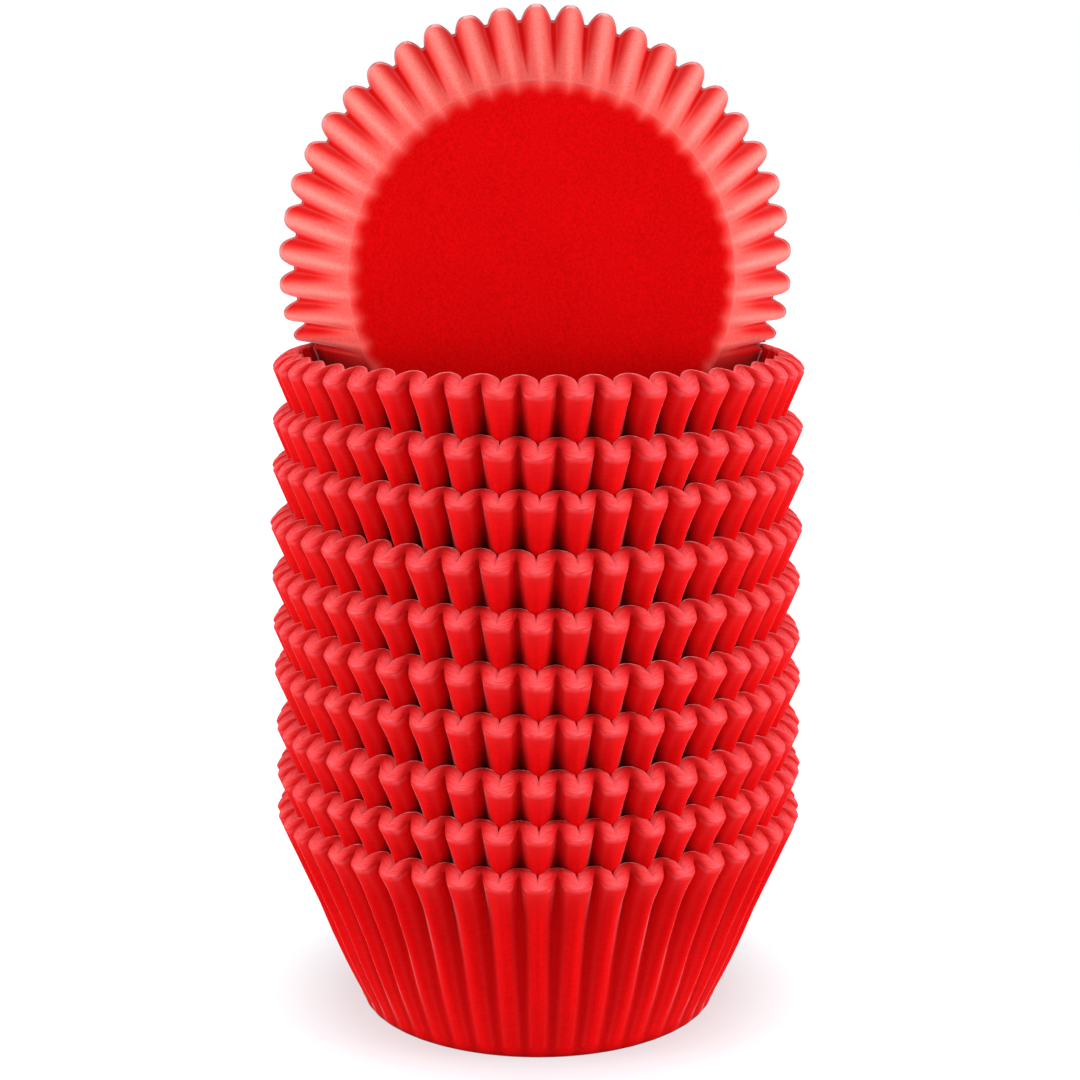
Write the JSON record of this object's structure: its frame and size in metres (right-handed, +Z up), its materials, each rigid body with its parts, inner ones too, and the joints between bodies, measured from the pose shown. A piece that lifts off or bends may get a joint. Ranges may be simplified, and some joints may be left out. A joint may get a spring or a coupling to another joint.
{
  "type": "stack of cupcake liners",
  "caption": "Nested stack of red pleated paper cupcake liners in thick packets, with a liner standing on its rim inside the top packet.",
  "frame": {"origin": "middle of the underside of the lowest packet, on the surface that the stack stands on", "axes": "+Z up along the stack's axis, -Y to the front, where the standing liner's underside faces, +X to the right seen from the front"},
  "size_m": [0.0722, 0.0722, 0.1358],
  "materials": {
    "packet_paper": "matte red greaseproof paper, cut edges paler",
    "liner_paper": "matte red greaseproof paper"
  },
  "bodies": {
    "root": {"packet_01": "packet_paper", "packet_02": "packet_paper", "packet_03": "packet_paper", "packet_04": "packet_paper", "packet_05": "packet_paper", "packet_06": "packet_paper", "packet_07": "packet_paper", "packet_08": "packet_paper", "packet_09": "packet_paper", "packet_10": "packet_paper", "standing_liner": "liner_paper"}
  },
  "joints": []
}
